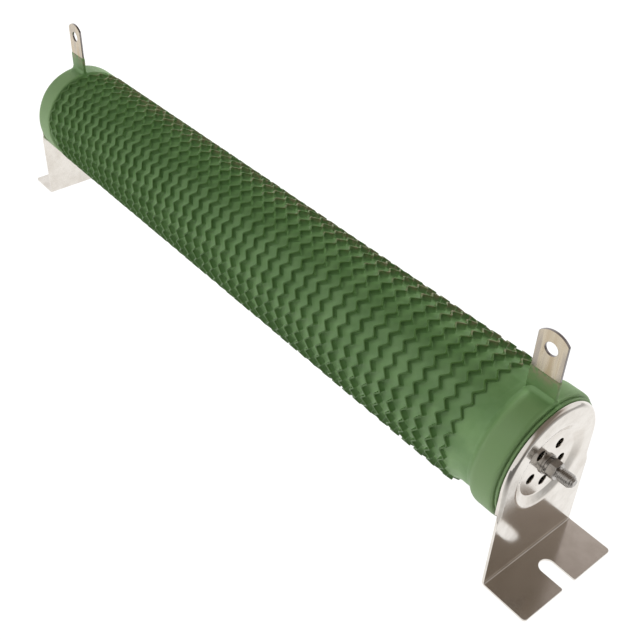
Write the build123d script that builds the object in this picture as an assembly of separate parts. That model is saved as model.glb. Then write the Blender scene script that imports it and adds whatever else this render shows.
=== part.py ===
from build123d import *
from math import cos, radians, sin
import os

# Tubular power resistor wound on edge with a zigzag ribbon, standing on two sheet brackets.
# X runs along the tube, Z is up and the feet stand on Z = 0. All lengths are in millimetres.

# Overall frame
mount_span = 418.6         # from the outer face of one bracket plate to the other's
axis_height = 59.5         # of the tube's axis above the ground

# Brackets, pressed from one sheet each
sheet = 1.2
bracket_width = 60.0
foot_reach = 23.4          # from the plate's outer face to the foot's free edge
foot_corner = 1.8
bend_inside = 0.8
slot_width = 8.2
slot_centre = 11.6         # from the plate's outer face to the centre of the slot's round end
slot_mouth_round = 0.9
rim_depth = 2.4            # of the turned rim, measured from the plate's outer face
rim_round = 2.2            # outer rounding of the turned rim
rim_drop = 13.0            # how far the rim runs down below the axis
dish_shoulder = 4.4        # radial run of the dish's sloping shoulder
dish_depth = 1.95
rod_drop = 1.7             # of the dish and the rod below the tube's axis
vent_count = 5
vent_diameter = 5.2
vent_circle_radius = 10.4
rod_hole_gap = 0.3         # round the rod, on the radius

# Ceramic tube
tube_rim_gap = 0.5         # between the tube and the turned rim, on the radius
tube_wall = 4.9
tube_dish_gap = 1.9        # between the tube's bore and the dish's shoulder, on the radius
tube_chamfer = 1.5

# Tie rod with its washers and nuts
rod_diameter = 5.0
rod_stickout = 12.4        # beyond the plate's outer face
rod_chamfer = 0.7
washer_diameter = 10.0
washer_thickness = 1.0
spring_washer_diameter = 8.8
spring_washer_thickness = 1.3
spring_washer_slit = 0.6
nut_across_flats = 8.0
nut_thickness = 4.0
nut_chamfer = 0.5
thread_gap = 0.05          # round the rod in the nuts and washers, on the radius

# Terminal straps, each folded from one strip round the tube with its ends pressed together as a lug
strap_width = 14.6
strap_thickness = 0.7
strap_setback = 12.0       # from the plate's outer face to the strap's centre
strap_gap = 0.05           # between strap, tube and coating
lug_top = 64.6             # of the lug above the axis
lug_crown_radius = 9.6
lug_hole_height = 56.0     # above the axis
lug_hole_diameter = 6.5
lug_corner = 0.8
lug_offset = 0.6           # of the lug's middle plane from the axis, towards -Y

# Green coating over the tube, the straps and the foot of the ribbon
coat_thickness = 1.1
band_cover = 3.25          # over each strap
band_side_cover = 0.25     # beside each strap
band_slope = 4.0           # length over which each band rises beside the winding
band_chamfer = 0.6         # at its outer edge
end_collar_height = 2.5    # of the coating between each band and its bracket, over the tube
end_groove_depth = 0.9
end_groove_width = 0.8
coat_end_gap = 0.3         # between the coating's end and the turned rim
coat_lip = 1.3             # height of the coating where it meets the band, over the tube
lug_film = 0.3             # on the lug's foot
lug_film_top = 43.2        # of the coated stretch of the lug above the axis
lug_flare_height = 5.0
lug_flare = 1.6

# Ribbon wound on edge: a left-handed screw whose outer edge runs in a zigzag
pitch = 8.27
teeth_per_turn = 26.81
ribbon_height = 3.4        # of its outer edge over the coating between the turns
zigzag = 2.7               # peak to peak, along X
start_angle = -100.0       # from straight up towards -Y
start_setback = 8.55       # of the ribbon's beginning from the near band
end_setback = 1.95         # of its other end from the far band
rise_teeth = 3             # teeth over which the ribbon rises out of the coating
last_turn_fill = 1.5       # more coating on the outer side of the first turn

# Derived values
face_x = mount_span / 2
tube_radius = bracket_width / 2 - sheet - tube_rim_gap
bore_radius = tube_radius - tube_wall
dish_radius = bore_radius - tube_dish_gap
dish_floor_radius = dish_radius - dish_shoulder
rod_height = axis_height - rod_drop
coat_bore_radius = tube_radius + strap_gap
floor_radius = tube_radius + coat_thickness
crest_radius = floor_radius + ribbon_height
strap_x = face_x - strap_setback
strap_radius = tube_radius + strap_gap + strap_thickness
lug_thickness = 2 * strap_thickness
band_radius = strap_radius + band_cover
band_inner_x = strap_x - strap_width / 2 - band_side_cover
band_outer_x = strap_x + strap_width / 2 + band_side_cover
coat_end_x = face_x - rim_depth - coat_end_gap
rod_radius = rod_diameter / 2
ENDS = (("near", 1), ("far", -1))


def along_x(x, height=axis_height):
    """The plane square to the tube at x, with its own x along +Y and its own y along +Z."""
    return Plane(origin=(x, 0, height), x_dir=(0, 1, 0), z_dir=(1, 0, 0))


def turned(shape, angle):
    """The piece as it stands at the near end (0), or turned round for the far end (180)."""
    return Rot(0, 0, angle) * shape


def placed(shape, side):
    """The piece as it stands at the near end (1), or its mirror image at the far end (-1)."""
    return shape if side > 0 else mirror(shape, about=Plane.YZ)


def ring(x, outer, inner, length, height=axis_height):
    """A plain ring on the tube's axis, or at another height, from x towards +X."""
    return extrude(along_x(x, height) * (Circle(outer) - Circle(inner)), length)


def spun(points, height=axis_height):
    """A ring spun from (x, radius) points about the tube's axis, or at another height."""
    section = make_face(Polyline([(x, 0, height + r) for x, r in points], close=True))
    return revolve(section, Axis((0, 0, height), (1, 0, 0)))


# Ceramic tube
def make_tube():
    x = face_x - sheet
    outline = [
        (-x, bore_radius),
        (-x, tube_radius - tube_chamfer),
        (-x + tube_chamfer, tube_radius),
        (x - tube_chamfer, tube_radius),
        (x, tube_radius - tube_chamfer),
        (x, bore_radius),
    ]
    return spun(outline)


# Bracket: a round-topped plate with a turned rim, a vented dish and a slotted foot
def plate_outline(inset, bottom):
    """Plate outline on its own plane: a half round over a strip, drawn in by the inset."""
    radius = bracket_width / 2 - inset
    strip = Pos(0, -bottom / 2) * Rectangle(2 * radius, bottom)
    return Circle(radius) + strip


def cap_block(inset):
    """The rimmed part of the plate as a block, drawn in by the inset, with the edges of its front."""
    block = extrude(along_x(face_x - inset) * plate_outline(inset, rim_drop), -rim_depth)
    front = block.faces().sort_by(Axis.X)[-1]
    low = axis_height - rim_drop
    return block, [edge for edge in front.edges() if edge.center().Z > low + 0.01]


def rimmed_cap():
    """The round top of the plate, its rim turned in with an even wall."""
    outer, outer_edges = cap_block(0)
    inner, inner_edges = cap_block(sheet)
    return fillet(outer_edges, rim_round) - chamfer(inner_edges, rim_round - sheet)


def dish_form():
    """The pressed dish as a disc of sheet, still without its holes."""
    points = [
        (face_x, dish_radius),
        (face_x - dish_depth, dish_floor_radius),
        (face_x - dish_depth, 0),
        (face_x - dish_depth - sheet, 0),
        (face_x - dish_depth - sheet, dish_floor_radius),
        (face_x - sheet, dish_radius),
    ]
    return spun(points, rod_height)


def make_foot():
    """The foot with its bend, its rounded corners and its open slot."""
    length = foot_reach + sheet
    plan = Pos(face_x - sheet + length / 2, 0) * Rectangle(length, bracket_width)
    tips = plan.vertices().group_by(Axis.X)[-1]
    plan = fillet(tips, foot_corner)
    slot_length = foot_reach - slot_centre
    slot = Pos(face_x + slot_centre, 0) * Circle(slot_width / 2)
    slot += Pos(face_x + slot_centre + slot_length / 2, 0) * Rectangle(slot_length, slot_width)
    plan -= slot
    edge_x = face_x + foot_reach
    mouth = [v for v in plan.vertices() if abs(v.X - edge_x) < 0.01 and abs(v.Y) < slot_width]
    plan = fillet(mouth, slot_mouth_round)
    foot = extrude(plan, sheet)
    rise = axis_height - rim_drop
    wall = Pos(face_x - sheet / 2, 0, rise / 2) * Box(sheet, bracket_width, rise)
    piece = foot + wall
    along_y = piece.edges().filter_by(Axis.Y)
    inside = [e for e in along_y if abs(e.center().X - face_x) < 0.01 and abs(e.center().Z - sheet) < 0.01]
    piece = fillet(inside, bend_inside)
    along_y = piece.edges().filter_by(Axis.Y)
    outside = [e for e in along_y if abs(e.center().X - face_x + sheet) < 0.01 and abs(e.center().Z) < 0.01]
    return fillet(outside, bend_inside + sheet)


def make_bracket():
    bracket = rimmed_cap() + make_foot()
    bracket -= extrude(along_x(face_x, rod_height) * Circle(dish_radius), -2 * rim_depth)
    bracket += dish_form()
    places = PolarLocations(vent_circle_radius, vent_count, start_angle=-90)
    vents = along_x(face_x, rod_height) * places * Circle(vent_diameter / 2)
    centre = along_x(face_x, rod_height) * Circle(rod_radius + rod_hole_gap)
    depth = dish_depth + 2 * sheet
    for hole in [*vents, centre]:
        bracket -= extrude(hole, -depth)
    return bracket


# Tie rod, washers and nuts, stacked outwards from the floor of the dish
def make_rod():
    x = face_x + rod_stickout
    outline = [
        (-x, 0),
        (-x, rod_radius - rod_chamfer),
        (-x + rod_chamfer, rod_radius),
        (x - rod_chamfer, rod_radius),
        (x, rod_radius - rod_chamfer),
        (x, 0),
    ]
    return spun(outline, rod_height)


def washer_x():
    return face_x - dish_depth


def spring_x():
    return washer_x() + washer_thickness


def nut_x():
    return spring_x() + spring_washer_thickness


def make_washer():
    return ring(washer_x(), washer_diameter / 2, rod_radius + thread_gap, washer_thickness, rod_height)


def make_spring_washer():
    outer = spring_washer_diameter / 2
    whole = ring(spring_x(), outer, rod_radius + thread_gap, spring_washer_thickness, rod_height)
    reach = spring_washer_diameter
    slit = Pos(spring_x(), 0, rod_height + reach / 2) * Rot(0, 0, 30) * Box(reach, spring_washer_slit, reach)
    return whole - slit


def make_nut():
    sides = RegularPolygon(nut_across_flats / 2, 6, major_radius=False)
    prism = extrude(along_x(nut_x(), rod_height) * (sides - Circle(rod_radius + thread_gap)), nut_thickness)
    corner = nut_across_flats / 2 + nut_chamfer
    x0 = nut_x()
    x1 = nut_x() + nut_thickness
    outline = [
        (x0, 0),
        (x0, nut_across_flats / 2),
        (x0 + nut_chamfer, corner + nut_chamfer),
        (x1 - nut_chamfer, corner + nut_chamfer),
        (x1, nut_across_flats / 2),
        (x1, 0),
    ]
    return prism & spun(outline, rod_height)


# Terminal strap: a closed band round the tube and a flat lug that stands up from it
def strap_form(grow):
    """The strap, or the space that it fills in the coating when grown by a gap."""
    outer = strap_radius + grow
    inner = tube_radius + strap_gap - grow
    width = strap_width + 2 * grow
    thickness = lug_thickness + 2 * grow
    band = ring(strap_x - width / 2, outer, inner, width)
    hole_z = axis_height + lug_hole_height
    crown_z = axis_height + lug_top - lug_crown_radius
    foot_z = axis_height + tube_radius + strap_gap + strap_thickness / 2
    shank_top = axis_height + lug_top + grow
    lug_plane = Plane(origin=(strap_x, -lug_offset, 0), x_dir=(1, 0, 0), z_dir=(0, -1, 0))
    shank = Pos(0, (foot_z + shank_top) / 2) * Rectangle(width, shank_top - foot_z)
    below = Pos(0, (foot_z + crown_z) / 2) * Rectangle(width, crown_z - foot_z)
    outline = below + (shank & (Pos(0, crown_z) * Circle(lug_crown_radius + grow)))
    shoulders = [v for v in outline.vertices() if v.Y > crown_z + grow]
    outline = fillet(shoulders, lug_corner)
    outline -= Pos(0, hole_z) * Circle(lug_hole_diameter / 2)
    lug = extrude(lug_plane * outline, thickness / 2, both=True)
    return band + lug


# Coating
def band_section():
    """The smooth coating over one strap, out to the bracket."""
    collar = tube_radius + end_collar_height
    groove = collar - end_groove_depth
    points = [
        (band_inner_x, 0, axis_height + coat_bore_radius),
        (band_inner_x, 0, axis_height + tube_radius + coat_lip),
        (band_inner_x + band_slope, 0, axis_height + band_radius),
        (band_outer_x - band_chamfer, 0, axis_height + band_radius),
        (band_outer_x, 0, axis_height + band_radius - band_chamfer),
        (band_outer_x + band_side_cover, 0, axis_height + groove),
        (band_outer_x + end_groove_width, 0, axis_height + collar),
        (coat_end_x, 0, axis_height + collar),
        (coat_end_x, 0, axis_height + coat_bore_radius),
    ]
    section = make_face(Polyline(points, close=True))
    return revolve(section, Axis((0, 0, axis_height), (1, 0, 0)))


def lug_cover():
    """The coating drawn up over the foot of the lug."""
    thick = lug_thickness + 2 * lug_film
    wide = strap_width + 2 * lug_film
    base_z = axis_height + band_radius - band_cover / 2
    neck_z = axis_height + band_radius + lug_flare_height
    top_z = axis_height + lug_film_top
    base = Pos(strap_x, -lug_offset, base_z) * Rectangle(wide, thick + 2 * lug_flare)
    neck = Pos(strap_x, -lug_offset, neck_z) * Rectangle(wide, thick)
    flare = loft([base, neck])
    sleeve = extrude(neck, top_z - neck_z)
    return flare + sleeve


def winding():
    """The coating between the bands with the ribbon's turns standing out of it, as one closed solid.

    Every tooth is the same eight flat faces carried along the screw: three down each side of the
    ribbon from its zigzag edge to its straight foot, and two across the floor to the next turn.
    """
    step = 360 / teeth_per_turn
    first_x = band_inner_x - start_setback
    length = first_x + band_inner_x - end_setback
    last = int(length / pitch * teeth_per_turn)
    round_one = int(teeth_per_turn) + 1

    def point(x, radius, angle):
        side = -radius * sin(radians(angle))
        return Vector(x, side, axis_height + radius * cos(radians(angle)))

    def screw(tooth, offset, radius):
        return point(first_x - pitch * tooth / teeth_per_turn + offset, radius, start_angle + step * tooth)

    def rise(tooth):
        return max(0, min(1, tooth / rise_teeth, (last - tooth) / rise_teeth))

    def fill(tooth):
        return last_turn_fill * max(0, min(1, tooth / rise_teeth, (round_one - tooth) / rise_teeth))

    def near_foot(tooth):
        return screw(tooth, zigzag / 2 * rise(tooth), floor_radius + fill(tooth))

    def far_foot(tooth):
        return screw(tooth, -zigzag / 2 * rise(tooth), floor_radius)

    def crest(half_tooth):
        tooth = half_tooth / 2
        side = 1 if half_tooth % 2 else -1
        return screw(tooth, side * zigzag / 2 * rise(tooth), floor_radius + ribbon_height * rise(tooth))

    def end_ring(x, angle):
        return [point(x, tube_radius + coat_lip, angle + step * k) for k in range(round_one)]

    triangles = []
    for k in range(last):
        low, peak, high = crest(2 * k), crest(2 * k + 1), crest(2 * k + 2)
        if k > 0:
            triangles.append((near_foot(k), low, peak))
            triangles.append((far_foot(k), peak, low))
        triangles.append((near_foot(k), peak, near_foot(k + 1)))
        triangles.append((far_foot(k), far_foot(k + 1), peak))
        if k < last - 1:
            triangles.append((near_foot(k + 1), peak, high))
            triangles.append((far_foot(k + 1), high, peak))
        if k + round_one < last:
            triangles.append((far_foot(k), near_foot(k + round_one), near_foot(k + round_one + 1)))
            triangles.append((far_foot(k), near_foot(k + round_one + 1), far_foot(k + 1)))
    near_ring = end_ring(band_inner_x, start_angle)
    for k in range(round_one - 1):
        triangles.append((near_ring[k], near_foot(k), near_foot(k + 1)))
        triangles.append((near_ring[k], near_foot(k + 1), near_ring[k + 1]))
    triangles.append((near_ring[-1], near_foot(round_one - 1), near_foot(0)))
    triangles.append((near_ring[-1], near_foot(0), near_ring[0]))
    triangles.append((near_foot(0), near_foot(round_one - 1), near_foot(round_one)))
    back = last - round_one
    far_ring = end_ring(-band_inner_x, start_angle + step * (back + 1))
    for k in range(round_one - 1):
        tooth = back + 1 + k
        triangles.append((far_ring[k], far_foot(tooth), far_foot(tooth + 1)))
        triangles.append((far_ring[k], far_foot(tooth + 1), far_ring[k + 1]))
    triangles.append((far_ring[-1], far_foot(last), far_foot(back + 1)))
    triangles.append((far_ring[-1], far_foot(back + 1), far_ring[0]))
    triangles.append((far_foot(last), far_foot(back), far_foot(back + 1)))

    skin = [Face(Wire.make_polygon(corners, close=True)) for corners in triangles]
    bore = ring(-band_inner_x, coat_bore_radius, coat_bore_radius / 2, 2 * band_inner_x)
    skin.append(bore.faces().filter_by(GeomType.CYLINDER).sort_by(SortBy.AREA)[-1])
    for x, corners in ((band_inner_x, near_ring), (-band_inner_x, far_ring)):
        hole = Wire.make_circle(coat_bore_radius, along_x(x))
        skin.append(Face(Wire.make_polygon(corners, close=True), [hole]))
    return Solid(Shell(skin))


def make_coating():
    body = winding()
    for name, side in ENDS:
        end = turned(band_section(), 90 - 90 * side) + placed(lug_cover(), side)
        body += end - placed(strap_form(strap_gap), side)
    return body


def write(name, shapes):
    """One file for one node, whose solids stay separate."""
    solids = [solid for shape in shapes for solid in shape.solids()]
    piece = solids[0] if len(solids) == 1 else Compound(children=solids)
    piece.label = name
    export_step(piece, f"parts/{name}.step")


def main():
    os.makedirs("parts", exist_ok=True)
    write("ceramic_tube", [make_tube()])
    write("coated_winding", [make_coating()])
    write("tie_rod", [make_rod()])
    for name, side in ENDS:
        write(f"bracket_{name}", [placed(make_bracket(), side)])
        write(f"terminal_{name}", [placed(strap_form(0), side)])
    write("plain_washers", [turned(make_washer(), angle) for angle in (0, 180)])
    write("spring_washers", [turned(make_spring_washer(), angle) for angle in (0, 180)])
    write("hex_nuts", [turned(make_nut(), angle) for angle in (0, 180)])


main()
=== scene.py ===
"""Looks of a tubular edge-wound power resistor: a ceramic tube with a zigzag ribbon wound on edge
under green cement coating, on two pressed steel brackets with a threaded rod through the tube."""
import math

import bmesh
import bpy
from bpy.props import FloatProperty, FloatVectorProperty, IntProperty, PointerProperty
from mathutils import Matrix, Vector
from mathutils.bvhtree import BVHTree


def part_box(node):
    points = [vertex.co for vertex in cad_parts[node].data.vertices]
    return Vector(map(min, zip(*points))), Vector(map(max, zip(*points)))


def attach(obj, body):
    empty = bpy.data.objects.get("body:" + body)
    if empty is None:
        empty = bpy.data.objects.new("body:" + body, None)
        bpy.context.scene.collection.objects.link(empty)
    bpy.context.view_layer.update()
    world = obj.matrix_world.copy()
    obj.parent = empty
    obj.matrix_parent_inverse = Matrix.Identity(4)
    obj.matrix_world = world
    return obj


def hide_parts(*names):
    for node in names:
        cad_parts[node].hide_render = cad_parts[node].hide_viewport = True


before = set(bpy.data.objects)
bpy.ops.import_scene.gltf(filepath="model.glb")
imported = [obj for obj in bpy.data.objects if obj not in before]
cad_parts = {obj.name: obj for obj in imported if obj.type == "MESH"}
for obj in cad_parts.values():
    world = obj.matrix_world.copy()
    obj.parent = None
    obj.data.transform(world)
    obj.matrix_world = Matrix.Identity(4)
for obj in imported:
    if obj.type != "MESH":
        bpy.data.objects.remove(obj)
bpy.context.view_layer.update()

bl_info = {
    "name": "Edge-Wound Resistor",
    "version": (1, 0, 0),
    "blender": (4, 5, 0),
    "location": "3D View > Sidebar > Resistor",
    "description": "Dresses the packed resistor with its coated ribbon, steel brackets and fasteners",
    "category": "Object",
}

MM = 0.001
WELD = 0.002 * MM                       # points closer together than this are one
SHARP = math.radians(40)                # an edge sharper than this is no part of a curve
WHITE = (1, 1, 1, 1)
MATH = "ShaderNodeMath"                 # the node that is added most
SHARE, UNDER, OVER, MIXED = 0, 6, 7, 2  # sockets of a Mix node when it mixes colours


# Small tools

def linear(code):
    """An sRGB hex colour as linear red, green, blue and alpha."""
    parts = [int(code[i:i + 2], 16) / 255 for i in (1, 3, 5)]
    return tuple(c / 12.92 if c <= 0.04045 else ((c + 0.055) / 1.055) ** 2.4 for c in parts) + (1.0,)


def length_setting(name, description, millimetres):
    """A property that holds a length."""
    return FloatProperty(name=name, description=description, default=millimetres * MM, unit="LENGTH")


def colour_setting(name, description, code):
    """A property that holds a colour, given as sRGB hex."""
    return FloatVectorProperty(
        name=name, description=description, default=linear(code), subtype="COLOR", size=4, min=0, max=1)


def clamped(value):
    """A value kept between nothing and one."""
    return min(1.0, max(0.0, value))


def add(tree, kind, values=(), **settings):
    """Add one node. Values go to its inputs in order, or by name from a dict, and each is a node, a socket
    or plain."""
    made = tree.nodes.new(kind)
    for name, value in settings.items():
        setattr(made, name, value)
    for key, value in values.items() if isinstance(values, dict) else enumerate(values):
        if isinstance(value, bpy.types.Node):
            value = value.outputs[0]
        if isinstance(value, bpy.types.NodeSocket):
            tree.links.new(value, made.inputs[key])
        else:
            made.inputs[key].default_value = value
    return made


def blank_material(name):
    """A new material, its node tree and the place of a point on the piece, which its patterns go by."""
    material = bpy.data.materials.new(name)
    material.use_nodes = True
    tree = material.node_tree
    tree.nodes.clear()
    return material, tree, add(tree, "ShaderNodeTexCoord").outputs["Object"]


def new_piece(name, mesh):
    """An object for a mesh, in the scene."""
    piece = bpy.data.objects.new(name, mesh)
    bpy.context.scene.collection.objects.link(piece)
    return piece


def skin(bm, rings):
    """Cover the way from each ring of points to the next."""
    for a, b in zip(rings, rings[1:]):
        for k in range(len(a)):
            n = (k + 1) % len(a)
            bm.faces.new((a[k], a[n], b[n], b[k]))


def mesh_of(name, bm, smooth):
    """A mesh from a bmesh, shaded smooth but for edges sharper than the angle."""
    mesh = bpy.data.meshes.new(name)
    for face in bm.faces:
        face.smooth = True
    for edge in bm.edges:
        edge.smooth = len(edge.link_faces) == 2 and edge.calc_face_angle(0) < smooth
    bm.to_mesh(mesh)
    bm.free()
    return mesh


def dress(piece, material, node):
    """Give a new piece its material and its body, and hide the CAD node that it stands for."""
    piece.data.materials.clear()
    piece.data.materials.append(material)
    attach(piece, "root")
    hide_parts(node)


def deburred(node, radius, creases=(), first=None):
    """A CAD node's own form, with its loose triangles joined and its sharp edges rounded by a small radius.
    Before that rounding come first(), which may change the form, and the creases, such as the shoulders of
    a pressing: each is a test that picks edges, and their radius."""
    bm = bmesh.new()
    bm.from_mesh(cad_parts[node].data)
    bmesh.ops.remove_doubles(bm, verts=bm.verts, dist=WELD)
    bmesh.ops.dissolve_limit(bm, angle_limit=math.radians(0.4), verts=bm.verts, edges=bm.edges)
    if first:
        first(bm)
        bmesh.ops.remove_doubles(bm, verts=bm.verts, dist=WELD)
    form = BVHTree.FromBMesh(bm)

    def ease(edges, offset, segments):
        """Round some edges, and put back any point that the rounding throws far off the form."""
        bmesh.ops.bevel(bm, geom=edges, offset=offset, offset_type="OFFSET", segments=segments,
                        profile=0.5, affect="EDGES", clamp_overlap=False)
        for v in bm.verts:
            place, _, _, far = form.find_nearest(v.co)
            if far > offset:
                v.co = place

    for crease, wide in creases:
        ease([e for e in bm.edges if crease(e)], wide, 4)
    ease([e for e in bm.edges if e.is_manifold and e.calc_face_angle(0) > SHARP], radius, 2)
    bmesh.ops.remove_doubles(bm, verts=bm.verts, dist=WELD)
    return bm


def evened(piece):
    """Shading that follows a piece's flat faces, so that a rounding beside one leaves it flat."""
    weights = piece.modifiers.new("weights", "WEIGHTED_NORMAL")
    weights.keep_sharp = True
    seen = piece.evaluated_get(bpy.context.evaluated_depsgraph_get())
    mesh = bpy.data.meshes.new_from_object(seen)
    piece.modifiers.clear()
    old = piece.data
    piece.data = mesh
    bpy.data.meshes.remove(old)
    mesh.name = piece.name


def put_piece(name, bm, smooth, material, node, even=False):
    """Make a piece of a bmesh in place of a CAD node; its shading is smooth up to an angle in degrees."""
    piece = new_piece(name, mesh_of(name, bm, math.radians(smooth)))
    if even:
        evened(piece)
    dress(piece, material, node)


def repaint(node, material):
    """Give a CAD node its material and leave its mesh as it is."""
    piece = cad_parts[node]
    for slot in piece.material_slots:
        slot.material = material
    if not piece.material_slots:
        piece.data.materials.append(material)


# Settings

class WindingSettings(bpy.types.PropertyGroup):
    axis_height: length_setting("Axis height", "Of the tube's axis above the feet", 59.5)
    floor_radius: length_setting("Coated radius", "Of the coating between the turns", 29.4)
    crest_radius: length_setting("Crest radius", "Of the ribbon's outer edge", 32.74)
    bore_radius: length_setting("Bore radius", "Of the coating where it lies on the tube", 28.35)
    pitch: length_setting("Pitch", "From one turn of the ribbon to the next", 8.27)
    teeth_per_turn: FloatProperty(
        name="Teeth per turn", description="Bends of the zigzag in one turn, there and back", default=26.81)
    zigzag: length_setting("Zigzag", "Peak to peak along the tube", 2.7)
    strip: length_setting("Strip thickness", "Of the coated ribbon, along the tube", 0.95)
    fillet: length_setting("Fillet", "Of coating at the ribbon's foot", 1.15)
    first_x: length_setting("Ribbon start", "Along the tube", 181.2)
    last_x: length_setting("Ribbon end", "Along the tube", -187.8)
    start_angle: FloatProperty(
        name="Start angle", description="From straight up, towards the front",
        default=math.radians(-100), subtype="ANGLE")
    rise_teeth: FloatProperty(
        name="Rise", description="Teeth over which the ribbon comes out of the coating", default=3.0)
    first_fill: length_setting("First turn's fill", "Extra coating beside the first turn", 1.5)
    unevenness: length_setting("Unevenness", "Wander of the turns along the tube", 0.22)
    ripple: length_setting("Ripple", "Height of the sags in the coating", 0.10)
    seed: IntProperty(name="Seed", description="Of the turns' wander", default=7)


class CoatingSettings(bpy.types.PropertyGroup):
    band_start: length_setting("Band start", "Where each band meets the winding, from the middle", 189.75)
    strap_x: length_setting("Strap", "Middle of each terminal strap, from the middle", 197.3)
    lug_width: length_setting("Lug width", "Along the tube", 14.6)
    lug_thickness: length_setting("Lug thickness", "Across the tube", 1.4)
    lug_offset: length_setting("Lug offset", "From the axis towards the front", 0.6)
    film: length_setting("Film", "Coating on the lug's foot", 0.3)
    film_top: length_setting("Film top", "Height of the coated stretch above the axis", 43.2)
    meniscus: length_setting("Meniscus", "Radius of the coating drawn up round the lug", 2.1)
    green: colour_setting("Green", "Of the cement coating", "#678755")
    deep_green: colour_setting("Deep green", "Where the coating is thick", "#577846")
    pale_green: colour_setting("Pale green", "Of the thinner film on the bands", "#617d4e")
    edge_green: colour_setting("Edge green", "Of the thin film on the ribbon's edge", "#3b5a25")
    # Painted sheen: this brown is laid only along the far upper side, where the tube turns into its outline
    outline_sheen_brown: colour_setting("Edge brown", "Of the ribbon's edge where it shows through", "#736d50")


class SteelSettings(bpy.types.PropertyGroup):
    sheet: colour_setting("Sheet", "Of the rolled stainless brackets", "#e4dfd8")
    strap: colour_setting("Strap", "Of the tinned terminal straps", "#c9bda9")
    flux: colour_setting("Flux stain", "Streaks on the straps near the coat", "#b8a384")
    zinc: colour_setting("Zinc", "Of the plated rod, washers and nuts", "#b9b5b0")
    sheet_edge: length_setting("Sheet edge", "Rounding of the blanked edges", 0.18)
    dish_shoulder: length_setting("Dish shoulder", "Rounding where the pressed dish leaves the plate", 1.9)
    dish_foot: length_setting("Dish foot", "Rounding round the dish's floor", 0.5)
    dish_radius: length_setting("Dish radius", "Of the pressed dish at the plate's face", 21.5)
    dish_floor: length_setting("Dish floor", "Radius of the dish's flat floor", 17.1)
    rim_end: length_setting("Rim end", "Height at which the plate's turned rim stops", 46.5)
    run_out: length_setting("Run-out", "Length over which the rim's rounding fades into the plate", 5.0)
    strap_edge: length_setting("Strap edge", "Rounding of the lug's edges", 0.16)
    fastener_edge: length_setting("Fastener edge", "Rounding of washers and nuts", 0.12)
    thread_length: length_setting("Thread length", "At each end of the rod", 24)
    thread_pitch: length_setting("Thread pitch", "Of the rod's thread", 0.8)
    thread_depth: length_setting("Thread depth", "From crest to root", 0.35)
    neck_length: length_setting("Neck", "Bare stretch between nut and tip", 0.7)
    tip_radius: length_setting("Tip radius", "Of the rod's stouter tip", 3.2)
    tip_end: length_setting("Tip end", "Radius of the flat at the end of the tip", 1.9)


class StageSettings(bpy.types.PropertyGroup):
    lens: FloatProperty(name="Lens", description="Focal length in millimetres", default=51.71)
    floor: colour_setting("Floor", "Colour of the table", "#f2f0ee")
    table_glow: FloatProperty(
        name="Table glow", description="Light from the table itself, which is lit from below", default=1.1)
    sky: colour_setting("Sky", "Soft light from all round", "#343436")
    room_dark: colour_setting(
        "Dark room", "Overhead and behind the camera, as metal shows it", "#81786f")
    room_mid: colour_setting("Room", "High on the white sweep, as metal shows it", "#b4aaa5")
    room_light: colour_setting("Light room", "Half-way up the white sweep, as metal shows it", "#e2dcd8")
    key_power: FloatProperty(
        name="Lamp power", description="In watts, before each lamp's own share", default=5.0)
    lamp_size: length_setting("Lamp size", "Side of each square softbox", 600)


# Materials

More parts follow.
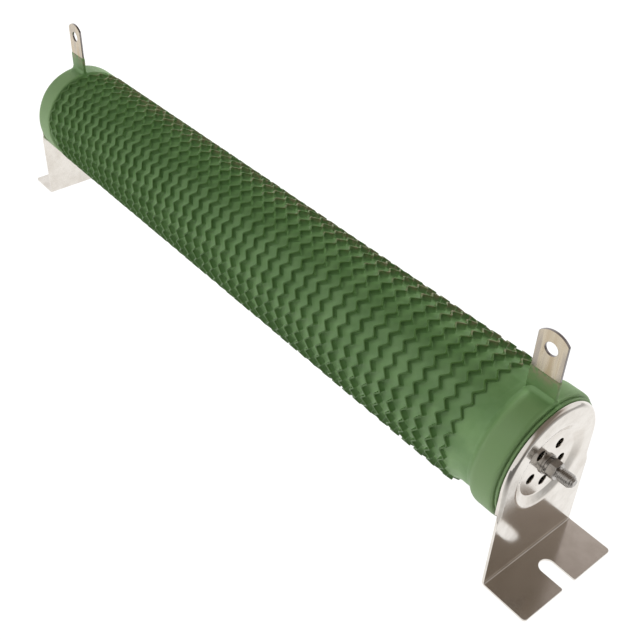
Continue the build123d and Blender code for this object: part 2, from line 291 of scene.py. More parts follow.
def cement_coating(coat):
    """Green silicone cement, dipped and baked: satin, a little uneven in thickness, thin and dark on the
    ribbon's edge, with a painted sheen of greyish brown along the far upper side where the tube turns into
    its outline, and a fine grain that breaks up the shine."""
    material, tree, place = blank_material("green_silicone_cement")
    crest = add(tree, "ShaderNodeAttribute", attribute_name="crest").outputs["Fac"]
    film = add(tree, "ShaderNodeAttribute", attribute_name="film").outputs["Fac"]
    clouds = add(tree, "ShaderNodeTexNoise", {
        "Vector": place, "Scale": 1 / (14 * MM), "Detail": 3.0, "Roughness": 0.55})
    depth = add(tree, "ShaderNodeMapRange", {"Value": clouds, "From Min": 0.35, "From Max": 0.65})
    edge = add(tree, "ShaderNodeMapRange", {"Value": crest, "From Min": 0.2, "From Max": 1.0})

    # Painted sheen: a greyish brown laid on the ribbon's edge along the far upper side, and down its flanks
    # at the very outline, broken into patches by a noise
    spot = add(tree, "ShaderNodeSeparateXYZ", [place]).outputs
    top = add(tree, MATH, [spot["Y"], 0.8, spot["Z"]], operation="MULTIPLY_ADD")
    upper_band = add(tree, "ShaderNodeMapRange", {"Value": top, "From Min": 91 * MM, "From Max": 98 * MM})
    edge_sheen = add(tree, MATH, [edge, upper_band], operation="MULTIPLY")
    ridge = add(tree, "ShaderNodeMapRange", {"Value": top, "From Min": 96.5 * MM, "From Max": 99.5 * MM})
    flank = add(tree, "ShaderNodeMapRange", {"Value": crest, "From Min": 0.05, "From Max": 0.4})
    flank_sheen = add(tree, MATH, [ridge, flank], operation="MULTIPLY")
    both = add(tree, MATH, [edge_sheen, flank_sheen], operation="MAXIMUM")
    sheen_breakup = add(tree, "ShaderNodeTexNoise", {"Vector": place, "Scale": 1 / (2.5 * MM), "Detail": 2.0})
    sheen_patches = add(tree, "ShaderNodeMapRange", {
        "Value": sheen_breakup, "From Min": 0.42, "From Max": 0.6, "To Max": 0.85})
    painted_sheen = add(tree, MATH, [both, sheen_patches], operation="MULTIPLY")

    colour = coat.green
    for share, over in ((depth, coat.deep_green), (film, coat.pale_green), (edge, coat.edge_green),
                        (painted_sheen, coat.outline_sheen_brown)):
        mix = add(tree, "ShaderNodeMix", {SHARE: share, UNDER: colour, OVER: over}, data_type="RGBA")
        colour = mix.outputs[MIXED]
    grain = add(tree, "ShaderNodeTexNoise", {"Vector": place, "Scale": 1 / (0.6 * MM), "Detail": 3.0})
    sheen = add(tree, "ShaderNodeMapRange", {"Value": grain, "To Min": 0.44, "To Max": 0.60})
    bumps = add(tree, "ShaderNodeBump", {"Strength": 0.25, "Distance": 0.03 * MM, "Height": grain})
    shader = add(tree, "ShaderNodeBsdfPrincipled", {
        "Base Color": colour, "Roughness": sheen, "Normal": bumps, "IOR": 1.5})
    add(tree, "ShaderNodeOutputMaterial", [shader])
    return material


def fired_ceramic():
    """Cordierite tube: chalky, off-white and matt, with fine specks."""
    material, tree, place = blank_material("fired_cordierite")
    specks = add(tree, "ShaderNodeTexNoise", {"Vector": place, "Scale": 1 / (1.2 * MM), "Detail": 4.0})
    spread = add(tree, "ShaderNodeMapRange", {"Value": specks, "From Min": 0.35, "From Max": 0.7})
    mix = add(tree, "ShaderNodeMix", {
        SHARE: spread, UNDER: linear("#d9d2c3"), OVER: linear("#c4bba8")}, data_type="RGBA")
    bumps = add(tree, "ShaderNodeBump", {"Strength": 0.4, "Distance": 0.05 * MM, "Height": specks})
    shader = add(tree, "ShaderNodeBsdfPrincipled", {
        "Base Color": mix.outputs[MIXED], "Roughness": 0.8, "Normal": bumps})
    add(tree, "ShaderNodeOutputMaterial", [shader])
    return material


def plated_metal(name, colour, darker, rough, grain_size, stretch):
    """A metal finish: smudges a few millimetres wide change its roughness, and a rolled grain runs along
    one axis. The grain is drawn ten times coarser than the real one, so that it shows."""
    material, tree, place = blank_material(name)
    smudges = add(tree, "ShaderNodeTexNoise", {
        "Vector": place, "Scale": 1 / (11 * MM), "Detail": 4.0, "Roughness": 0.6})
    tint = add(tree, "ShaderNodeMapRange", {"Value": smudges, "From Min": 0.4, "From Max": 0.75})
    mix = add(tree, "ShaderNodeMix", {SHARE: tint, UNDER: colour, OVER: darker}, data_type="RGBA")
    drawn = add(tree, "ShaderNodeMapping", {"Vector": place, "Scale": stretch})
    grain = add(tree, "ShaderNodeTexNoise", {"Vector": drawn, "Scale": 1 / grain_size, "Detail": 2.0})
    shine = add(tree, "ShaderNodeMapRange", {
        "Value": smudges, "From Min": 0.3, "From Max": 0.8, "To Min": rough * 0.75, "To Max": rough * 1.5})
    bumps = add(tree, "ShaderNodeBump", {"Strength": 0.12, "Distance": 0.01 * MM, "Height": grain})
    shader = add(tree, "ShaderNodeBsdfPrincipled", {
        "Base Color": mix.outputs[MIXED], "Metallic": 1.0, "Roughness": shine, "Normal": bumps})
    add(tree, "ShaderNodeOutputMaterial", [shader])
    return material


def tinned_strap(steel, low, high):
    """Steel strap dipped in tin: bright, with long streaks drawn up it, warm brown stains of flux near the
    coat and greyer sheared edges."""
    material, tree, place = blank_material("tinned_steel_strap")
    drawn = add(tree, "ShaderNodeMapping", {"Vector": place, "Scale": (1, 1, 0.12)})
    streaks = add(tree, "ShaderNodeTexNoise", {
        "Vector": drawn, "Scale": 1 / (3.2 * MM), "Detail": 2.0, "Roughness": 0.5})
    height = add(tree, "ShaderNodeSeparateXYZ", [place]).outputs["Z"]
    foot = add(tree, "ShaderNodeMapRange", {
        "Value": height, "From Min": high, "From Max": low, "To Min": 0.25, "To Max": 0.75})
    warm = add(tree, "ShaderNodeMapRange", {"Value": streaks, "From Min": 0.46, "From Max": 0.62})
    stained = add(tree, MATH, [warm, foot], operation="MULTIPLY")
    grey = add(tree, "ShaderNodeMapRange", {
        "Value": streaks, "From Min": 0.46, "From Max": 0.34, "To Max": 0.8})
    normal = add(tree, "ShaderNodeNewGeometry").outputs["Normal"]
    facing = add(tree, "ShaderNodeSeparateXYZ", [normal]).outputs["Y"]
    flat = add(tree, MATH, [facing], operation="ABSOLUTE")
    sheared = add(tree, "ShaderNodeMapRange", {"Value": flat, "From Min": 0.75, "From Max": 0.35})
    colour = steel.strap
    for share, over in ((stained, steel.flux), (grey, linear("#a49c94")), (sheared, linear("#8c8686"))):
        mix = add(tree, "ShaderNodeMix", {SHARE: share, UNDER: colour, OVER: over}, data_type="RGBA")
        colour = mix.outputs[MIXED]
    shine = add(tree, "ShaderNodeMapRange", {
        "Value": streaks, "From Min": 0.3, "From Max": 0.7, "To Min": 0.18, "To Max": 0.34})
    bumps = add(tree, "ShaderNodeBump", {"Strength": 0.15, "Distance": 0.02 * MM, "Height": streaks})
    shader = add(tree, "ShaderNodeBsdfPrincipled", {
        "Base Color": colour, "Metallic": 1.0, "Roughness": shine, "Normal": bumps})
    add(tree, "ShaderNodeOutputMaterial", [shader])
    return material


# The winding

# Each input of the ribbon's nodes and the setting that it takes; the number of teeth is worked out
WINDING_INPUTS = {
    "Axis height": "axis_height", "Floor radius": "floor_radius", "Crest radius": "crest_radius",
    "Pitch": "pitch", "Teeth per turn": "teeth_per_turn", "Zigzag": "zigzag", "Strip": "strip",
    "Fillet": "fillet", "First X": "first_x", "Start angle": "start_angle", "Rise": "rise_teeth",
    "Fill": "first_fill", "Unevenness": "unevenness", "Ripple": "ripple", "Seed": "seed"}
ROWS = 10            # rows of points over one ribbon, foot to foot; one more reaches the next turn
CORNERS = 4          # columns for one tooth: two at each corner of the zigzag
CORNER = 0.055       # half the width of a corner's flat, in teeth
LEAD = 56            # teeth of plain coating before and after the ribbon
TURN = 27            # whole teeth from a foot to the next turn's foot
WANDER_RATE = 1.7    # steps of the wander's noise in one turn
WRAP = 30 * MM       # radius at which the sags are read from their noise
SAG = 9 * MM         # width of a sag

# The columns of one tooth, in teeth
TOOTH = (-CORNER, CORNER, 0.5 - CORNER, 0.5 + CORNER)

# The ribbon's section at five steps from its edge to its foot: its share of the strip's thickness, of the
# fillet, of the height, and of the zigzag's swing
SECTION = ((0.55, 1, 1, 1, 1), (0, 0, 0.05, 0.34, 1), (1, 0.94, 0.27, 0.08, 0), (1, 1, 0.96, 0.85, 0.6))


def winding_tree(material):
    """Geometry nodes that lay a long grid along a screw line: its columns follow the zigzag and its rows
    climb one side of the ribbon, cross its edge, go down the other side and reach over to the next turn."""
    tree = bpy.data.node_groups.new("edge-wound ribbon", "GeometryNodeTree")
    tree.interface.new_socket("Geometry", in_out="OUTPUT", socket_type="NodeSocketGeometry")
    for name in ("Teeth", *WINDING_INPUTS):
        tree.interface.new_socket(name, in_out="INPUT", socket_type="NodeSocketFloat")
    given = add(tree, "NodeGroupInput").outputs
    columns = add(tree, MATH, [given["Teeth"], 2.0 * LEAD], operation="ADD")
    columns = add(tree, MATH, [columns, float(CORNERS)], operation="MULTIPLY")
    grid = add(tree, "GeometryNodeMeshGrid", {"Vertices X": columns, "Vertices Y": ROWS + 1})

    # Which row and column a point is in; the last row lies on the next turn's first
    index = add(tree, "GeometryNodeInputIndex")
    row = add(tree, MATH, [index, ROWS + 1.0], operation="MODULO")
    column = add(tree, MATH, [index, ROWS + 1.0], operation="DIVIDE")
    column = add(tree, MATH, [column], operation="FLOOR")
    over = add(tree, MATH, [row, ROWS - 0.5], operation="GREATER_THAN")
    column = add(tree, MATH, [over, float(TURN * CORNERS), column], operation="MULTIPLY_ADD")
    row = add(tree, MATH, [over, -float(ROWS), row], operation="MULTIPLY_ADD")

    # The tooth that a column is in and its part of the tooth, and the steps of a row from the ribbon's edge
    tooth = add(tree, MATH, [column, float(CORNERS)], operation="DIVIDE")
    tooth = add(tree, MATH, [tooth], operation="FLOOR")
    part = add(tree, MATH, [tooth, -float(CORNERS), column], operation="MULTIPLY_ADD")
    step = add(tree, MATH, [row, (ROWS - 1) / 2], operation="SUBTRACT")
    front = add(tree, MATH, [step], operation="SIGN")
    step = add(tree, MATH, [step], operation="ABSOLUTE")
    picks = []
    for chosen, values in [(part, TOOTH)] + [(step, values) for values in SECTION]:
        pick = add(tree, "GeometryNodeIndexSwitch", data_type="FLOAT")
        while len(pick.index_switch_items) < len(values):
            pick.index_switch_items.new()
        tree.links.new(chosen.outputs[0], pick.inputs[0])
        for i, value in enumerate(values):
            pick.inputs[i + 1].default_value = value
        picks.append(pick)
    share, thick, spread, height, follow = picks

    # Teeth along the ribbon, and the side of the zigzag
    along = add(tree, MATH, [tooth, share], operation="ADD")
    along = add(tree, MATH, [along, float(LEAD)], operation="SUBTRACT")
    side = add(tree, MATH, [part, 1.5], operation="GREATER_THAN")
    side = add(tree, MATH, [side, 2.0, -1.0], operation="MULTIPLY_ADD")

    # The ribbon rises out of the coating at its beginning and sinks back at its end
    left = add(tree, MATH, [given["Teeth"], along], operation="SUBTRACT")
    rise = add(tree, MATH, [along, left], operation="MINIMUM")
    rise = add(tree, MATH, [rise, given["Rise"]], operation="DIVIDE", use_clamp=True)
    to_turn = add(tree, MATH, [float(TURN), along], operation="SUBTRACT")
    fill = add(tree, MATH, [along, to_turn], operation="MINIMUM")
    fill = add(tree, MATH, [fill, given["Rise"]], operation="DIVIDE", use_clamp=True)
    on_front = add(tree, MATH, [front, 0.0], operation="LESS_THAN")
    fill = add(tree, MATH, [fill, on_front], operation="MULTIPLY")
    fill = add(tree, MATH, [fill, given["Fill"]], operation="MULTIPLY")

    # Along the tube
    turns = add(tree, MATH, [along, given["Teeth per turn"]], operation="DIVIDE")
    x = add(tree, MATH, [turns, given["Pitch"]], operation="MULTIPLY")
    x = add(tree, MATH, [given["First X"], x], operation="SUBTRACT")
    phase = add(tree, MATH, [turns, WANDER_RATE, given["Seed"]], operation="MULTIPLY_ADD")
    wander = add(tree, "ShaderNodeTexNoise", {"W": phase, "Scale": 1.0, "Detail": 2.0}, noise_dimensions="1D")
    wander = add(tree, MATH, [wander, 0.5], operation="SUBTRACT")
    wander = add(tree, MATH, [wander, rise], operation="MULTIPLY")
    x = add(tree, MATH, [wander, given["Unevenness"], x], operation="MULTIPLY_ADD")
    swing = add(tree, MATH, [side, follow], operation="MULTIPLY")
    swing = add(tree, MATH, [swing, rise], operation="MULTIPLY")
    swing = add(tree, MATH, [swing, given["Zigzag"]], operation="MULTIPLY")
    x = add(tree, MATH, [swing, 0.5, x], operation="MULTIPLY_ADD")
    half = add(tree, MATH, [given["Strip"], 0.5], operation="MULTIPLY")
    half = add(tree, MATH, [half, thick], operation="MULTIPLY")
    half = add(tree, MATH, [given["Fillet"], spread, half], operation="MULTIPLY_ADD")
    back = add(tree, MATH, [front, -1.0], operation="MULTIPLY")
    x = add(tree, MATH, [half, back, x], operation="MULTIPLY_ADD")

    # Out from the axis, with sags in the coating that the ribbon's edge doesn't have
    angle = add(tree, MATH, [turns, math.tau, given["Start angle"]], operation="MULTIPLY_ADD")
    tall = add(tree, MATH, [given["Crest radius"], given["Floor radius"]], operation="SUBTRACT")
    tall = add(tree, MATH, [tall, height], operation="MULTIPLY")
    tall = add(tree, MATH, [tall, rise], operation="MULTIPLY")
    tall = add(tree, MATH, [tall, fill], operation="MAXIMUM")
    sine = add(tree, MATH, [angle], operation="SINE")
    cosine = add(tree, MATH, [angle], operation="COSINE")
    spot_y = add(tree, MATH, [sine, WRAP], operation="MULTIPLY")
    spot_z = add(tree, MATH, [cosine, WRAP], operation="MULTIPLY")
    spot = add(tree, "ShaderNodeCombineXYZ", [x, spot_y, spot_z])
    sag = add(tree, "ShaderNodeTexNoise", {"Vector": spot, "Scale": 1 / SAG, "Detail": 1.0})
    sag = add(tree, MATH, [sag, 0.5], operation="SUBTRACT")
    soft = add(tree, MATH, [1.0, height], operation="SUBTRACT")
    sag = add(tree, MATH, [sag, soft], operation="MULTIPLY")
    radius = add(tree, MATH, [given["Floor radius"], tall], operation="ADD")
    radius = add(tree, MATH, [sag, given["Ripple"], radius], operation="MULTIPLY_ADD")
    y = add(tree, MATH, [radius, sine], operation="MULTIPLY")
    y = add(tree, MATH, [y, -1.0], operation="MULTIPLY")
    z = add(tree, MATH, [radius, cosine, given["Axis height"]], operation="MULTIPLY_ADD")
    place = add(tree, "ShaderNodeCombineXYZ", [x, y, z])

    shown = add(tree, MATH, [height, rise], operation="MULTIPLY")
    marked = add(tree, "GeometryNodeStoreNamedAttribute", {
        "Geometry": grid, "Name": "crest", "Value": shown}, data_type="FLOAT", domain="POINT")
    laid = add(tree, "GeometryNodeSetPosition", {"Geometry": marked, "Position": place})
    closed = add(tree, "GeometryNodeMergeByDistance", {"Geometry": laid, "Distance": 0.004 * MM})
    turned = add(tree, "GeometryNodeFlipFaces", [closed])
    real = add(tree, "GeometryNodeRealizeInstances", [turned])
    coated = add(tree, "GeometryNodeSetMaterial", {"Geometry": real, "Material": material})
    add(tree, "NodeGroupOutput", [coated])
    return tree


def run_nodes(name, tree, values):
    """The plain mesh that a tree makes from its named inputs."""
    holder = new_piece(name, bpy.data.meshes.new(name))
    modifier = holder.modifiers.new(name, "NODES")
    modifier.node_group = tree
    for socket in tree.interface.items_tree:
        if socket.in_out == "INPUT":
            modifier[socket.identifier] = float(values[socket.name])
    seen = holder.evaluated_get(bpy.context.evaluated_depsgraph_get())
    mesh = bpy.data.meshes.new_from_object(seen)
    bpy.data.objects.remove(holder)
    return mesh


def close_winding(mesh, end_x, bore_radius, axis_height):
    """Cut the coat square at both ends and close it over the tube."""
    bm = bmesh.new()
    bm.from_mesh(mesh)
    rings = []
    for side in (1, -1):
        cut = side * end_x
        everything = bm.verts[:] + bm.edges[:] + bm.faces[:]
        bmesh.ops.bisect_plane(
            bm, geom=everything, plane_co=(cut, 0, 0), plane_no=(side, 0, 0), clear_outer=True)
        rim = [e for e in bm.edges if e.is_boundary and all(abs(v.co.x - cut) < 1e-6 for v in e.verts)]
        inner = bmesh.ops.extrude_edge_only(bm, edges=rim)["geom"]
        for v in (g for g in inner if isinstance(g, bmesh.types.BMVert)):
            out = math.hypot(v.co.y, v.co.z - axis_height)
            v.co.y *= bore_radius / out
            v.co.z = axis_height + (v.co.z - axis_height) * bore_radius / out
        rings += [g for g in inner if isinstance(g, bmesh.types.BMEdge)]
    bmesh.ops.bridge_loops(bm, edges=rings)
    bmesh.ops.delete(bm, geom=[v for v in bm.verts if not v.link_faces], context="VERTS")
    bmesh.ops.recalc_face_normals(bm, faces=bm.faces)
    return bm


class RESISTOR_OT_wind_ribbon(bpy.types.Operator):
    """Wind the zigzag ribbon on edge round the tube, under its coating"""
    bl_idname = "resistor.wind_ribbon"
    bl_label = "Wind Ribbon"

    def execute(self, context):
        winding = context.scene.resistor_winding
        coat = context.scene.resistor_coating
        material = cement_coating(coat)
        values = {name: getattr(winding, setting) for name, setting in WINDING_INPUTS.items()}
        values["Teeth"] = math.floor(
            (winding.first_x - winding.last_x) / winding.pitch * winding.teeth_per_turn)
        mesh = run_nodes("ribbon_nodes", winding_tree(material), values)
        into_band = 0.2 * MM
        bm = close_winding(mesh, coat.band_start + into_band, winding.bore_radius, winding.axis_height)
        if any(not e.is_manifold for e in bm.edges):
            raise RuntimeError("the winding's coat isn't closed")
        put_piece("coated_ribbon", bm, 34, material, "coated_winding")
        return {"FINISHED"}


# The coated ends

# The coat over one strap, in millimetres along the tube from the band's start and out from the coat
# between the turns: the winding's dip, then a slope or, where it is steep, a step straight up beside the
# last turn, then the way over the band and through the groove to the rim
BAND_DIP = (-1.2, -0.15)
BAND_SLOPE = ((-0.5, 0.03), (0.3, 0.28), (1.2, 0.85), (2.2, 1.65), (3.2, 2.37), (4.2, 2.73))
BAND_STEP = ((-0.5, 0.1), (-0.15, 0.5), (0, 1.3), (0.15, 2.25), (0.5, 2.7), (1.3, 2.85))
BAND = ((5.4, 2.9), (13.2, 2.9), (14.2, 2.78), (14.8, 2.4), (15.1, 1.7), (15.25, 0.65), (15.55, 0.5),
        (15.8, 0.8), (15.95, 1.3), (16.3, 1.4), (16.7, 1.3), (16.85, 0.9))
BAND_FINENESS = 0.7                    # millimetres between the points of the band's outline
LUG_REACH = math.radians(16)           # the band is turned in fine steps this far to each side of the lug
FINE_TURN = math.radians(0.7)
COARSE_TURNS = 96                      # steps round the rest of the band
THIN_FROM, THIN_OVER = 0.5, 7          # millimetres from the lug, where the band's film starts to thin
FILM_CORNER = 0.55                     # millimetres, the radius of the film's corners


def refined(points, step):
    """The points of a line with more set between them where they are further apart than the step."""
    out = [points[0]]
    for a, b in zip(points, points[1:]):
        count = max(1, round(math.dist(a, b) / step))
        out += [(a[0] + (b[0] - a[0]) * k / count, a[1] + (b[1] - a[1]) * k / count)
                for k in range(1, count + 1)]
    return out


def film_halves(coat):
    """Half the width and half the thickness of a lug with its film, in millimetres."""
    return (coat.lug_width / 2 + coat.film) / MM, (coat.lug_thickness / 2 + coat.film) / MM


def turn_band(bm, coat, winding, steep):
    """The band over a strap, turned round the tube, with its surface drawn up in a curve round the lug. It
    is marked as thin film away from the lug and from the winding."""
    film = bm.verts.layers.float["film"]
    start = coat.band_start / MM
    floor = winding.floor_radius / MM
    bore = winding.bore_radius / MM
    axis = winding.axis_height / MM
    lift = coat.meniscus / MM
    half_x, half_y = film_halves(coat)
    thin_start = start - 0.3
    thin_over = 0.8 if steep else 4.6
    outline = (BAND_DIP, *(BAND_STEP if steep else BAND_SLOPE), *BAND)
    profile = refined([(start + x, floor + out) for x, out in outline], BAND_FINENESS)
    angles = [FINE_TURN * k - LUG_REACH for k in range(int(2 * LUG_REACH / FINE_TURN))]
    angles += [LUG_REACH + (math.tau - 2 * LUG_REACH) * k / COARSE_TURNS for k in range(COARSE_TURNS)]

    def from_lug(x, y):
        """How far a place is from the lug with its film, seen from above."""
        dx = max(0, abs(x - coat.strap_x / MM) - half_x)
        dy = max(0, abs(y + coat.lug_offset / MM) - half_y)
        return math.hypot(dx, dy)

    rings = []
    for angle in angles:
        sine, cosine = math.sin(angle), math.cos(angle)
        ring = []
        for x, r in profile:
            away = from_lug(x, -r * sine) if cosine > 0 else math.inf
            up = lift - math.sqrt(max(0, lift ** 2 - (lift - away) ** 2)) if away < lift else 0
            out = r + up * clamped((r - bore) / 2)
            v = bm.verts.new((x * MM, -out * sine * MM, (axis + out * cosine) * MM))
            v[film] = clamped((x - thin_start) / thin_over) * clamped((away - THIN_FROM) / THIN_OVER)
            ring.append(v)
        for x in (profile[-1][0], profile[0][0]):
            ring.append(bm.verts.new((x * MM, -bore * sine * MM, (axis + bore * cosine) * MM)))
        rings.append(ring)
    skin(bm, rings + rings[:1])
    bmesh.ops.recalc_face_normals(bm, faces=bm.faces)


def wrap_lug(bm, coat, winding):
    """The film on the lug's foot: a shell with round corners that thins out at its top."""
    crest = bm.verts.layers.float["crest"]
    half_x, half_y = film_halves(coat)
    axis = winding.axis_height / MM
    low = (winding.floor_radius / MM + 1.2) + axis
    top = coat.film_top / MM + axis
    rings = []
    for z, thinner in ((low, 0.0), (low + 4, 0.0), (top - 1.0, 0.0), (top - 0.35, 0.05), (top, 0.22)):
        wide = half_x - thinner - FILM_CORNER
        deep = half_y - thinner - FILM_CORNER
        ring = []
        for side_x, side_y, start in ((1, 1, 0), (-1, 1, 90), (-1, -1, 180), (1, -1, 270)):
            for turn in (0, 30, 60, 90):
                a = math.radians(start + turn)
                x = coat.strap_x / MM + side_x * wide + FILM_CORNER * math.cos(a)
                y = -coat.lug_offset / MM + side_y * deep + FILM_CORNER * math.sin(a)
                v = bm.verts.new((x * MM, y * MM, z * MM))
                v[crest] = 0.5
                ring.append(v)
        rings.append(ring)
    skin(bm, rings)
    bm.faces.new(reversed(rings[0]))
    bm.faces.new(rings[-1])


class RESISTOR_OT_coat_ends(bpy.types.Operator):
    """Coat both ends of the tube over their straps and round the feet of the lugs"""
    bl_idname = "resistor.coat_ends"
    bl_label = "Coat Ends"

    def execute(self, context):
        coat = context.scene.resistor_coating
        winding = context.scene.resistor_winding
        material = bpy.data.materials["green_silicone_cement"]
        for name, side in (("near", 1), ("far", -1)):
            bm = bmesh.new()
            for layer in ("film", "crest"):
                bm.verts.layers.float.new(layer)
            turn_band(bm, coat, winding, side < 0)
            wrap_lug(bm, coat, winding)
            if side < 0:
                bm.transform(Matrix.Scale(-1, 4, (1, 0, 0)))
                bmesh.ops.reverse_faces(bm, faces=bm.faces)
            put_piece(f"coated_end_{name}", bm, 50, material, "coated_winding")
        return {"FINISHED"}


# The ceramic tube

class RESISTOR_OT_fire_tube(bpy.types.Operator):
    """Give the ceramic tube its finish"""
    bl_idname = "resistor.fire_tube"
    bl_label = "Fire Tube"

    def execute(self, context):
        repaint("ceramic_tube", fired_ceramic())
        return {"FINISHED"}


# The brackets

class RESISTOR_OT_finish_brackets(bpy.types.Operator):
    """Give the brackets their rolled stainless finish"""
    bl_idname = "resistor.finish_brackets"
    bl_label = "Finish Brackets"

    def execute(self, context):
        steel = context.scene.resistor_steel
        material = plated_metal(
            "rolled_stainless_sheet", steel.sheet, linear("#d3ccc3"), 0.15, 0.5 * MM, (1, 0.08, 1))
        low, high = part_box("tie_rod")
        middle = (low[2] + high[2]) / 2

        def on_ring(edge, ring):
            """Whether an edge runs round the pressed dish at a radius."""
            if max(abs(math.hypot(v.co.y, v.co.z - middle) - ring) for v in edge.verts) >= 0.3 * MM:
                return False
            return edge.is_manifold and edge.calc_face_angle(0) > math.radians(14)

        creases = [(lambda edge: on_ring(edge, steel.dish_radius), steel.dish_shoulder),
                   (lambda edge: on_ring(edge, steel.dish_floor), steel.dish_foot)]
        for name in ("near", "far"):
            bm = deburred(f"bracket_{name}", steel.sheet_edge, creases, lambda bm: self.run_out(bm, steel))
            put_piece(
                f"pressed_bracket_{name}", bm, 32, material, f"bracket_{name}", even=True)
        return {"FINISHED"}

    def run_out(self, bm, steel):
        """Slope the small ledges below the turned rim, so that its rounding runs out into the sides."""
        ledges = [f for f in bm.faces if f.normal.z > 0.9
                  and abs(f.calc_center_median().z - steel.rim_end) < 0.1 * MM]
        for face in ledges:
            corner = max(face.verts, key=lambda v: abs(v.co.x) + abs(v.co.y))
            corner.co.z -= steel.run_out
            bmesh.ops.poke(bm, faces=[face])["verts"][0].co = corner.co


# The terminals

class RESISTOR_OT_finish_terminals(bpy.types.Operator):
    """Give the terminal straps their tinned finish"""
    bl_idname = "resistor.finish_terminals"
    bl_label = "Finish Terminals"

    def execute(self, context):
        steel = context.scene.resistor_steel
        coat_top = context.scene.resistor_winding.axis_height + context.scene.resistor_coating.film_top
        material = tinned_strap(steel, coat_top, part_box("terminal_near")[1][2])
        for name in ("near", "far"):
            bm = deburred(f"terminal_{name}", steel.strap_edge)
            put_piece(
                f"terminal_strap_{name}", bm, 50, material, f"terminal_{name}", even=True)
        return {"FINISHED"}


# The rod, washers and nuts

ROD_SIDES = 28
THREAD_RINGS = 6                       # rings of points in one thread
PLAIN_STEPS = 12                       # steps along the plain stretch
FLANK = 2.6                            # steepness of the thread's flanks; the rest of a thread is its crest
NECK_CUT = 0.2 * MM                    # by which the neck is thinner than the rod, in radius
TIP_FLARE, TIP_TAPER = 2, 0.75         # radius won along the neck's end and lost towards the tip's end


def threaded_rod(steel):
    """The tie rod: plain in the middle, a V thread cut round both ends, and beyond each nut a stouter
    threaded tip behind a short neck, tapered to a small flat end."""
    low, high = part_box("tie_rod")
    centre = (low[2] + high[2]) / 2
    radius = (high[2] - low[2]) / 2
    reach = high[0]
    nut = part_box("hex_nuts")[1][0]
    start = reach - steel.thread_length
    step = steel.thread_pitch / THREAD_RINGS
    plain = [-(start - 1.0 * MM) * (1 - 2 * k / PLAIN_STEPS) for k in range(PLAIN_STEPS + 1)]
    cut = [side * (start + step * k) for side in (1, -1) for k in range(int(steel.thread_length / step))]
    bm = bmesh.new()
    rings = []
    for x in sorted(plain + cut + [-reach, reach]):
        into = clamped((abs(x) - start) / steel.thread_pitch)
        past = abs(x) - nut - steel.neck_length
        body = radius if abs(x) < nut else radius - NECK_CUT
        if past > 0:
            taper = steel.tip_end + (reach - abs(x)) * TIP_TAPER
            body = min(body + past * TIP_FLARE, steel.tip_radius, taper)
        ring = []
        for turn in (k / ROD_SIDES for k in range(ROD_SIDES)):
            phase = (abs(x) / steel.thread_pitch - turn) % 1.0
            r = body - steel.thread_depth * into * (1 - min(1.0, abs(phase - 0.5) * FLANK))
            angle = math.tau * turn
            ring.append(bm.verts.new((x, r * math.cos(angle), centre + r * math.sin(angle))))
        rings.append(ring)
    skin(bm, rings)
    bm.faces.new(rings[0])
    bm.faces.new(rings[-1])
    bmesh.ops.recalc_face_normals(bm, faces=bm.faces)
    return bm


class RESISTOR_OT_fit_fasteners(bpy.types.Operator):
    """Cut the rod's threads and put on the washers and nuts, all zinc plated"""
    bl_idname = "resistor.fit_fasteners"
    bl_label = "Fit Fasteners"

    def execute(self, context):
        steel = context.scene.resistor_steel
        material = plated_metal(
            "zinc_plated_steel", steel.zinc, linear("#8d8883"), 0.28, 0.3 * MM, (1, 1, 1))
        put_piece("threaded_rod", threaded_rod(steel), 60, material, "tie_rod")
        for name in ("plain_washers", "spring_washers", "hex_nuts"):
            bm = deburred(name, steel.fastener_edge)
            put_piece(f"plated_{name}", bm, 50, material, name, even=True)
        return {"FINISHED"}


# The stage

# Each softbox, its place in metres and its share of the lamp power
SOFTBOXES = (
    ("sweep_softbox", (-0.85, 0.6, 0.45), 2.4), ("back_softbox", (0.5, 0.95, 0.5), 1.65),
    ("end_softbox", (0.8, 0.0, 0.9), 0.45), ("overhead_softbox", (-0.2, -0.7, 0.95), 1.1),
    ("side_softbox", (-0.8, -0.8, 0.3), 0.6), ("front_softbox", (0.75, -0.85, 0.35), 0.22))
LAMP_AIM = Vector((0.05, 0, 0.06))                # metres
CAMERA_PLACE = Vector((345.67, -254.72, 352.87))  # millimetres
CAMERA_TURN = (38.312, 36.824, 0.649)             # yaw, pitch and roll in degrees
CAMERA_SHIFT = 0.0625                             # of the picture's width, across and down
SENSOR = 36                                       # millimetres


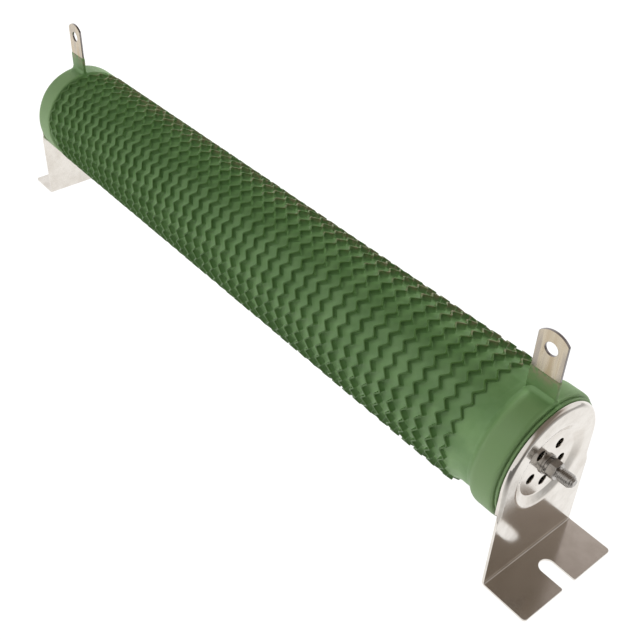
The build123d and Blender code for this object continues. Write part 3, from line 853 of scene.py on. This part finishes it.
class RESISTOR_OT_set_stage(bpy.types.Operator):
    """Lay the floor, light the object softly and set the camera at the photograph's view"""
    bl_idname = "resistor.set_stage"
    bl_label = "Set Stage"

    def execute(self, context):
        stage = context.scene.resistor_stage
        scene = context.scene
        scene.view_settings.view_transform = "Standard"
        self.lay_floor(stage)
        self.light_world(scene, stage)
        for name, place, share in SOFTBOXES:
            self.hang_lamp(name, Vector(place), stage.lamp_size, stage.key_power * share)
        self.aim_camera(scene, stage)
        return {"FINISHED"}

    def lay_floor(self, stage):
        """A white table, lit from below. Metal shows it with painted shade: fading beyond the near foot, and
        more so towards the front."""
        bm = bmesh.new()
        bmesh.ops.create_grid(bm, x_segments=1, y_segments=1, size=6.0)
        floor = new_piece("floor", mesh_of("floor", bm, SHARP))
        material, tree, place = blank_material("pale_table")
        path = add(tree, "ShaderNodeLightPath").outputs
        place = add(tree, "ShaderNodeSeparateXYZ", [place]).outputs
        # Painted shade, seen only in metal: the table's white fades beyond the near foot and darkens towards
        # the front
        reach = add(tree, "ShaderNodeMapRange", {
            "Value": place["X"], "From Min": 0.25, "From Max": 0.34, "To Min": 1.0, "To Max": 0.3})
        side = add(tree, "ShaderNodeMapRange", {
            "Value": place["Y"], "From Min": 0.04, "From Max": 0.01, "To Max": 0.38})
        past = add(tree, "ShaderNodeMapRange", {"Value": place["X"], "From Min": 0.231, "From Max": 0.24})
        painted_shade = add(tree, MATH, [side, past], operation="MULTIPLY")
        reach = add(tree, MATH, [reach, painted_shade], operation="SUBTRACT", use_clamp=True)
        near = add(tree, MATH, [path["Is Camera Ray"], reach], operation="MAXIMUM")
        white = add(tree, "ShaderNodeEmission", {"Color": WHITE, "Strength": near})
        paint = add(tree, "ShaderNodeBsdfDiffuse", {"Color": stage.floor})
        glow = add(tree, "ShaderNodeEmission", {"Color": stage.floor, "Strength": stage.table_glow})
        table = add(tree, "ShaderNodeAddShader", [paint, glow])
        seen_by = [path["Is Camera Ray"], path["Is Glossy Ray"]]
        seen = add(tree, MATH, seen_by, operation="MAXIMUM")
        share = add(tree, MATH, [seen, 0.9], operation="MULTIPLY")
        mixed = add(tree, "ShaderNodeMixShader", [share, table, white])
        add(tree, "ShaderNodeOutputMaterial", [mixed])
        floor.data.materials.append(material)

    def light_world(self, scene, stage):
        """A white backdrop for the camera and a dim even light. Metal shows a white sweep that greys towards
        the ceiling, a darker side behind the camera and a white front."""
        world = bpy.data.worlds.new("studio")
        scene.world = world
        world.use_nodes = True
        tree = world.node_tree
        tree.nodes.clear()
        path = add(tree, "ShaderNodeLightPath").outputs
        way = add(tree, "ShaderNodeTexCoord").outputs["Generated"]
        way = add(tree, "ShaderNodeSeparateXYZ", [way]).outputs
        rise = add(tree, MATH, [way["X"], 0.1, way["Z"]], operation="MULTIPLY_ADD")
        room = add(tree, "ShaderNodeValToRGB", [rise])
        stops = room.color_ramp.elements
        stops[0].position, stops[0].color = 0.42, WHITE
        stops[1].position, stops[1].color = 0.80, stage.room_dark
        stops.new(0.66).color = stage.room_light
        stops.new(0.735).color = stage.room_mid
        dark_side = add(tree, "ShaderNodeMapRange", {
            "Value": way["X"], "From Min": 0.55, "From Max": 0.75, "To Max": 0.9})
        front = add(tree, "ShaderNodeMapRange", {
            "Value": way["Y"], "From Min": -0.3, "From Max": -0.5, "To Max": 0.9})
        wall = room.outputs["Color"]
        for share, over in ((dark_side, stage.room_dark), (front, WHITE)):
            mix = add(tree, "ShaderNodeMix", {SHARE: share, UNDER: wall, OVER: over}, data_type="RGBA")
            wall = mix.outputs[MIXED]
        seen_by = [path["Is Glossy Ray"], path["Is Transmission Ray"]]
        mirrored = add(tree, MATH, seen_by, operation="MAXIMUM")
        light = stage.sky
        for share, over in ((mirrored, wall), (path["Is Camera Ray"], WHITE)):
            mix = add(tree, "ShaderNodeMix", {SHARE: share, UNDER: light, OVER: over}, data_type="RGBA")
            light = mix.outputs[MIXED]
        backdrop = add(tree, "ShaderNodeBackground", {"Color": light, "Strength": 1.0})
        add(tree, "ShaderNodeOutputWorld", [backdrop])

    def hang_lamp(self, name, place, size, power):
        """A square softbox that faces the part, and that metal doesn't show."""
        lamp = bpy.data.lights.new(name, "AREA")
        lamp.shape = "SQUARE"
        lamp.size = size
        lamp.energy = power
        holder = bpy.data.objects.new(name, lamp)
        holder.location = place
        holder.rotation_mode = "QUATERNION"
        holder.rotation_quaternion = (place - LAMP_AIM).to_track_quat("Z", "Y")
        holder.visible_glossy = False
        bpy.context.scene.collection.objects.link(holder)

    def aim_camera(self, scene, stage):
        """The photograph's camera, from its place and its yaw, pitch and roll."""
        yaw, pitch, roll = (math.radians(a) for a in CAMERA_TURN)
        back = Vector((math.cos(yaw) * math.cos(pitch), -math.sin(yaw) * math.cos(pitch), math.sin(pitch)))
        right = Vector((0, 0, 1)).cross(back).normalized()
        up = back.cross(right)
        x_axis = math.cos(roll) * right + math.sin(roll) * up
        y_axis = -math.sin(roll) * right + math.cos(roll) * up
        turned = Matrix((x_axis, y_axis, back)).transposed().to_4x4()
        camera = bpy.data.objects.new("camera", bpy.data.cameras.new("camera"))
        camera.matrix_world = Matrix.Translation(CAMERA_PLACE * MM) @ turned
        camera.data.lens = stage.lens
        camera.data.sensor_width = SENSOR
        camera.data.shift_x = CAMERA_SHIFT
        camera.data.shift_y = -CAMERA_SHIFT
        camera.data.clip_start = 0.01
        scene.collection.objects.link(camera)
        scene.camera = camera


# Panel and registration

OPERATORS = (
    RESISTOR_OT_wind_ribbon, RESISTOR_OT_coat_ends, RESISTOR_OT_fire_tube, RESISTOR_OT_finish_brackets,
    RESISTOR_OT_finish_terminals, RESISTOR_OT_fit_fasteners, RESISTOR_OT_set_stage)
SETTINGS = {"resistor_winding": WindingSettings, "resistor_coating": CoatingSettings,
            "resistor_steel": SteelSettings, "resistor_stage": StageSettings}


class RESISTOR_PT_steps(bpy.types.Panel):
    """The steps that dress the resistor, with their sizes and colours"""
    bl_idname = "RESISTOR_PT_steps"
    bl_label = "Edge-Wound Resistor"
    bl_space_type = "VIEW_3D"
    bl_region_type = "UI"
    bl_category = "Resistor"

    def draw(self, context):
        for operator in OPERATORS:
            self.layout.operator(operator.bl_idname)
        for name, group in SETTINGS.items():
            box = self.layout.box()
            for field in group.__annotations__:
                box.prop(getattr(context.scene, name), field)


def register():
    for group in SETTINGS.values():
        bpy.utils.register_class(group)
    for name, group in SETTINGS.items():
        setattr(bpy.types.Scene, name, PointerProperty(type=group))
    for operator in OPERATORS:
        bpy.utils.register_class(operator)
    bpy.utils.register_class(RESISTOR_PT_steps)


def unregister():
    bpy.utils.unregister_class(RESISTOR_PT_steps)
    for operator in reversed(OPERATORS):
        bpy.utils.unregister_class(operator)
    for name, group in SETTINGS.items():
        delattr(bpy.types.Scene, name)
        bpy.utils.unregister_class(group)


def main():
    register()
    bpy.ops.resistor.wind_ribbon()
    bpy.ops.resistor.coat_ends()
    bpy.ops.resistor.fire_tube()
    bpy.ops.resistor.finish_brackets()
    bpy.ops.resistor.finish_terminals()
    bpy.ops.resistor.fit_fasteners()
    bpy.ops.resistor.set_stage()


if __name__ == "__main__":
    main()
